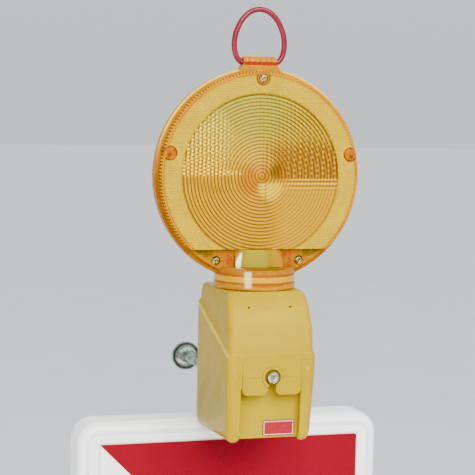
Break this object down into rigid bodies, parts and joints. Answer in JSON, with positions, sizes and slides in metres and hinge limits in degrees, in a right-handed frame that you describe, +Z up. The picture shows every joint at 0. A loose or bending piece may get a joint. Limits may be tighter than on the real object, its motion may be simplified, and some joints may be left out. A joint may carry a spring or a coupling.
{
  "type": "traffic barrier",
  "caption": "Striped barrier board plugged into a heavy foot plate, with a round amber warning lamp on a yellow battery hood bolted to its top edge.",
  "frame": {"origin": "on the ground, under the middle of the foot plate", "axes": "+X across the board to the right as traffic sees it, +Y from the lamp side to the back, +Z up"},
  "size_m": [0.4, 0.8, 1.5487],
  "materials": {
    "recycled_plastic": "coarse moulded recycled plastic, dusty",
    "white_plastic": "satin moulded white plastic",
    "reflective_sheet": "retroreflective sheeting, red and white slanted stripes",
    "zinc_steel": "galvanised steel",
    "yellow_plastic": "satin moulded yellow plastic",
    "battery_case": "printed tin jacket",
    "red_label": "plain gloss label",
    "screw_steel": "bright stainless steel",
    "circuit_board": "green lacquered board",
    "black_rubber": "soft black rubber",
    "led_housing": "dark grey plastic",
    "red_coated_wire": "steel wire with a red plastic coat",
    "amber_lens": "clear amber acrylic",
    "reflex_yellow": "honeycomb retroreflector"
  },
  "bodies": {
    "base": {"foot_plate": "recycled_plastic"},
    "board": {"board_body": "white_plastic", "sheet_front": "reflective_sheet", "sheet_rear": "reflective_sheet", "spigot": "zinc_steel", "spigot_bolt_left": "zinc_steel", "spigot_bolt_right": "zinc_steel", "lamp_bracket": "zinc_steel", "bracket_screw_left": "zinc_steel", "bracket_screw_right": "zinc_steel", "fixing_bolt": "zinc_steel", "clamp_washer": "zinc_steel", "clamp_nut": "zinc_steel", "keeper_nut": "zinc_steel", "keeper_washer": "zinc_steel", "dome_nut": "zinc_steel", "battery_spring_plus": "zinc_steel", "battery_spring_minus": "zinc_steel", "battery_tray": "yellow_plastic", "block_battery": "battery_case", "label_plate": "red_label"},
    "hood": {"hood": "yellow_plastic", "driver_board": "circuit_board", "neck_seal": "black_rubber"},
    "head": {"swivel_stem": "yellow_plastic", "led_post": "led_housing", "led_front": "led_housing", "led_rear": "led_housing", "lens_front": "amber_lens", "lens_rear": "amber_lens", "ring_lens_front": "amber_lens", "ring_lens_rear": "amber_lens", "reflex_ring_front": "reflex_yellow", "reflex_ring_rear": "reflex_yellow", "lens_screw_top": "screw_steel", "lens_screw_low_left": "screw_steel", "lens_screw_low_right": "screw_steel", "lens_screw_rear_left": "screw_steel", "lens_screw_rear_right": "screw_steel"},
    "handle": {"handle": "red_coated_wire"},
    "lock": {"lock_screw": "screw_steel"}
  },
  "joints": [
    {"name": "board_lift", "type": "slide", "parent": "base", "child": "board", "axis": [0, 0, 1], "range_m": [0, 0.12]},
    {"name": "hood_lift", "type": "slide", "parent": "board", "child": "hood", "axis": [0, 0, 1], "range_m": [0, 0.12]},
    {"name": "head_swivel", "type": "hinge", "parent": "hood", "child": "head", "pos_m": [0.006, -0.061, 1.2985], "axis": [0, 0, 1], "range_deg": [-90, 90]},
    {"name": "handle_swing", "type": "hinge", "parent": "head", "child": "handle", "pos_m": [0.006, -0.061, 1.4995], "axis": [1, 0, 0], "range_deg": [-85, 85]},
    {"name": "lock_turn", "type": "hinge", "parent": "board", "child": "lock", "pos_m": [0.006, -0.121, 1.2263], "axis": [0, 1, 0], "continuous": true}
  ]
}
